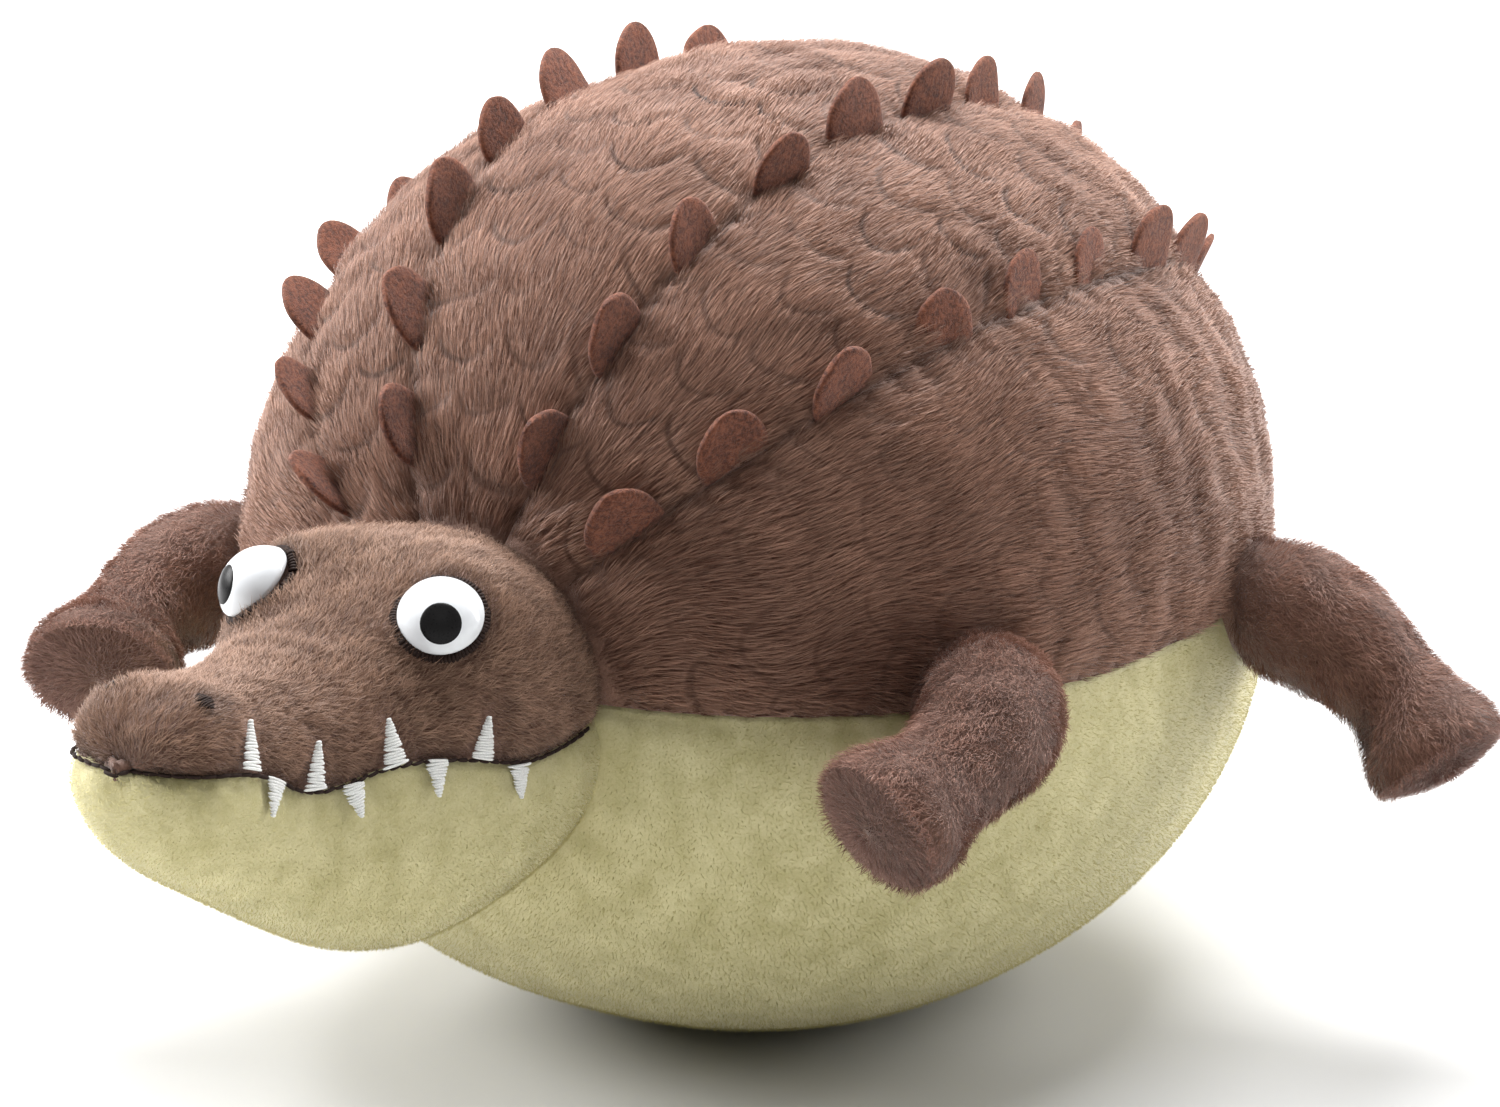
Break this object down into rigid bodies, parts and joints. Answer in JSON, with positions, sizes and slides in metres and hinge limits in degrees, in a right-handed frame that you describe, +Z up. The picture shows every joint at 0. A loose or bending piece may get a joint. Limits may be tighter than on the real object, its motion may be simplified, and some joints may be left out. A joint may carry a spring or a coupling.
{
  "type": "plush crocodile",
  "caption": "Plump stuffed crocodile with a long-pile back, felt spikes in its seams, a velour belly, a stuffed head, short sprung legs and a tail.",
  "frame": {"origin": "middle of the small flat on the belly that the toy rests on", "axes": "+Z up, the head faces -Y, the crocodile's left side is +X"},
  "size_m": [0.3324, 0.4263, 0.2271],
  "materials": {
    "back_fur": "matte",
    "head_fur": "matte",
    "velour": "matte",
    "felt": "matte",
    "fibre_fill": "matte",
    "pellets": "matte",
    "eye_plastic": "gloss",
    "washer_plastic": "satin",
    "sole_fur": "matte"
  },
  "bodies": {
    "body": {"centre_back_panel": "back_fur", "left_shoulder_panel": "back_fur", "right_shoulder_panel": "back_fur", "left_flank_panel": "back_fur", "right_flank_panel": "back_fur", "left_inner_felt_strip": "felt", "right_inner_felt_strip": "felt", "left_outer_felt_strip": "felt", "right_outer_felt_strip": "felt", "belly_panel": "velour", "body_stuffing": "fibre_fill", "pellet_bag": "pellets"},
    "head": {"upper_head_skin": "head_fur", "jaw_skin": "velour", "head_stuffing": "fibre_fill", "left_eye": "eye_plastic", "right_eye": "eye_plastic", "left_eye_washer": "washer_plastic", "right_eye_washer": "washer_plastic"},
    "tail": {"tail_upper_skin": "back_fur", "tail_underside": "velour", "tail_stuffing": "fibre_fill"},
    "front_left_leg": {"front_left_leg_skin": "head_fur", "front_left_leg_stuffing": "fibre_fill", "front_left_paw_sole": "sole_fur"},
    "front_right_leg": {"front_right_leg_skin": "head_fur", "front_right_leg_stuffing": "fibre_fill", "front_right_paw_sole": "sole_fur"},
    "rear_left_leg": {"rear_left_leg_skin": "head_fur", "rear_left_leg_stuffing": "fibre_fill", "rear_left_paw_sole": "sole_fur"},
    "rear_right_leg": {"rear_right_leg_skin": "head_fur", "rear_right_leg_stuffing": "fibre_fill", "rear_right_paw_sole": "sole_fur"}
  },
  "joints": [
    {"name": "head_nod", "type": "hinge", "parent": "body", "child": "head", "pos_m": [0, -0.152, 0.099], "axis": [1, 0, 0], "range_deg": [-7, 7], "stiffness_Nm_per_rad": 2.5},
    {"name": "tail_wag", "type": "hinge", "parent": "body", "child": "tail", "pos_m": [0, 0.139, 0.099], "axis": [0, 0, 1], "range_deg": [-15, 15], "stiffness_Nm_per_rad": 0.4},
    {"name": "front_left_leg_swing", "type": "hinge", "parent": "body", "child": "front_left_leg", "pos_m": [0.10996, -0.07259, 0.10217], "axis": [-0.9872, 0.1592, 0], "range_deg": [-20, 20], "stiffness_Nm_per_rad": 0.3},
    {"name": "front_right_leg_swing", "type": "hinge", "parent": "body", "child": "front_right_leg", "pos_m": [-0.10996, -0.07259, 0.10217], "axis": [-0.9872, -0.1592, 0], "range_deg": [-20, 20], "stiffness_Nm_per_rad": 0.3},
    {"name": "rear_left_leg_swing", "type": "hinge", "parent": "body", "child": "rear_left_leg", "pos_m": [0.11992, 0.04261, 0.1], "axis": [-0.0411, -0.9992, 0], "range_deg": [-20, 20], "stiffness_Nm_per_rad": 0.3},
    {"name": "rear_right_leg_swing", "type": "hinge", "parent": "body", "child": "rear_right_leg", "pos_m": [-0.11992, 0.04261, 0.1], "axis": [-0.0411, 0.9992, 0], "range_deg": [-20, 20], "stiffness_Nm_per_rad": 0.3}
  ]
}
